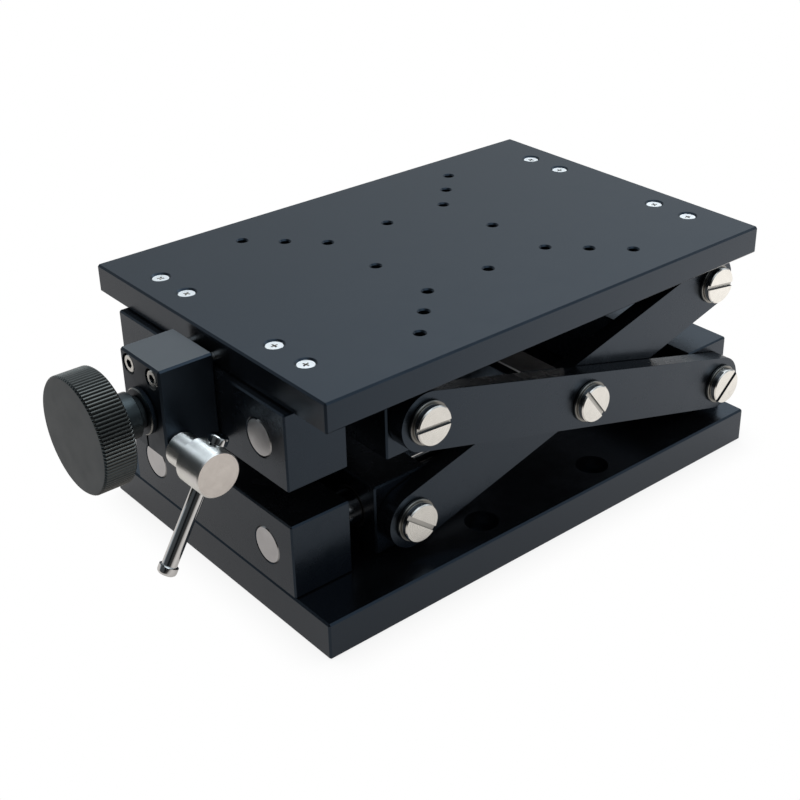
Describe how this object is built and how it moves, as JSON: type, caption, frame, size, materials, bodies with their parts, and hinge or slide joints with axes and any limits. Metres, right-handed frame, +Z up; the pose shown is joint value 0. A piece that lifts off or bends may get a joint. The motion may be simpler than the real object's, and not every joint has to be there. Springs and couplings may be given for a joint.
{
  "type": "scissor lift stage",
  "caption": "Scissor lift stage: a rectangular table raised over its base plate by crossed arms, driven by a side knob and lead screw and held by a clamp screw with tommy bar.",
  "frame": {"origin": "middle of the base plate's underside", "axes": "+Z up through both plates, +X along the plates away from the knob, +Y across them away from the clamp screw's head"},
  "size_m": [0.2255, 0.12, 0.0835],
  "materials": {
    "black_anodised": "black anodised, fine satin",
    "bright_steel": "nickel plated, slightly matt",
    "ground_steel": "ground",
    "bronze": "machined bronze",
    "bearing_polymer": "dark plain bearing, matt",
    "polished_steel": "polished, plated"
  },
  "bodies": {
    "base": {"base_plate": "black_anodised", "lower_end_block": "black_anodised", "lower_hinge_block": "black_anodised", "lower_rods": "ground_steel", "base_screws": "bright_steel", "lower_hinge_screws": "bright_steel", "lower_hinge_washers": "bright_steel"},
    "table": {"table_plate": "black_anodised", "upper_end_block": "black_anodised", "upper_hinge_block": "black_anodised", "upper_rods": "ground_steel", "table_screws": "bright_steel", "drive_block": "black_anodised", "drive_block_screws": "bright_steel", "thrust_washer": "black_anodised", "upper_hinge_screws": "bright_steel", "upper_hinge_washers": "bright_steel"},
    "outer_arms": {"outer_arm_near": "black_anodised", "outer_arm_far": "black_anodised", "tie_plate": "black_anodised"},
    "inner_arms": {"inner_arm_near": "black_anodised", "inner_arm_far": "black_anodised", "centre_screws": "bright_steel", "centre_washers": "bright_steel"},
    "upper_slider": {"upper_slider_block": "black_anodised", "upper_bushes": "bearing_polymer", "lead_nut": "bronze", "upper_slider_screws": "bright_steel", "upper_slider_washers": "bright_steel"},
    "lower_slider": {"lower_slider_block": "black_anodised", "lower_bushes": "bearing_polymer", "lower_slider_screws": "bright_steel", "lower_slider_washers": "bright_steel"},
    "knob": {"knob": "black_anodised", "knob_grub_screw": "bright_steel", "lead_screw": "ground_steel"},
    "clamp_screw": {"clamp_screw": "polished_steel"},
    "tommy_bar": {"tommy_bar": "polished_steel", "tommy_bar_caps": "polished_steel"}
  },
  "joints": [
    {"name": "lift", "type": "hinge", "parent": "base", "child": "outer_arms", "pos_m": [0.0825, 0, 0.025], "axis": [0, 1, 0], "range_deg": [-4.2, 23.2]},
    {"name": "arm_crossing", "type": "hinge", "parent": "outer_arms", "child": "inner_arms", "pos_m": [0.01544, 0, 0.04325], "axis": [0, 1, 0], "range_deg": [-46.4, 8.4]},
    {"name": "table_pivot", "type": "hinge", "parent": "inner_arms", "child": "table", "pos_m": [0.0825, 0, 0.0615], "axis": [0, 1, 0], "range_deg": [-4.2, 23.2]},
    {"name": "upper_slider_pivot", "type": "hinge", "parent": "outer_arms", "child": "upper_slider", "pos_m": [-0.05162, 0, 0.0615], "axis": [0, 1, 0], "range_deg": [-23.2, 4.2]},
    {"name": "lower_slider_pivot", "type": "hinge", "parent": "inner_arms", "child": "lower_slider", "pos_m": [-0.05162, 0, 0.025], "axis": [0, 1, 0], "range_deg": [-4.2, 23.2]},
    {"name": "knob_turn", "type": "hinge", "parent": "table", "child": "knob", "pos_m": [-0.1105, 0, 0.064], "axis": [1, 0, 0], "range_deg": [-4197.4, 760.3]},
    {"name": "clamp_turn", "type": "hinge", "parent": "table", "child": "clamp_screw", "pos_m": [-0.106, -0.0108, 0.0543], "axis": [0, 1, 0], "range_deg": [-45, 0]},
    {"name": "bar_slide", "type": "slide", "parent": "clamp_screw", "child": "tommy_bar", "axis": [0.5075, 0, 0.8616], "range_m": [0, 0.01]}
  ],
  "couplings": [
    {"joint": "arm_crossing", "follows": "lift", "ratio": -2},
    {"joint": "table_pivot", "follows": "lift", "ratio": 1},
    {"joint": "upper_slider_pivot", "follows": "lift", "ratio": -1},
    {"joint": "lower_slider_pivot", "follows": "lift", "ratio": 1},
    {"joint": "knob_turn", "follows": "lift", "ratio": -180.9}
  ]
}
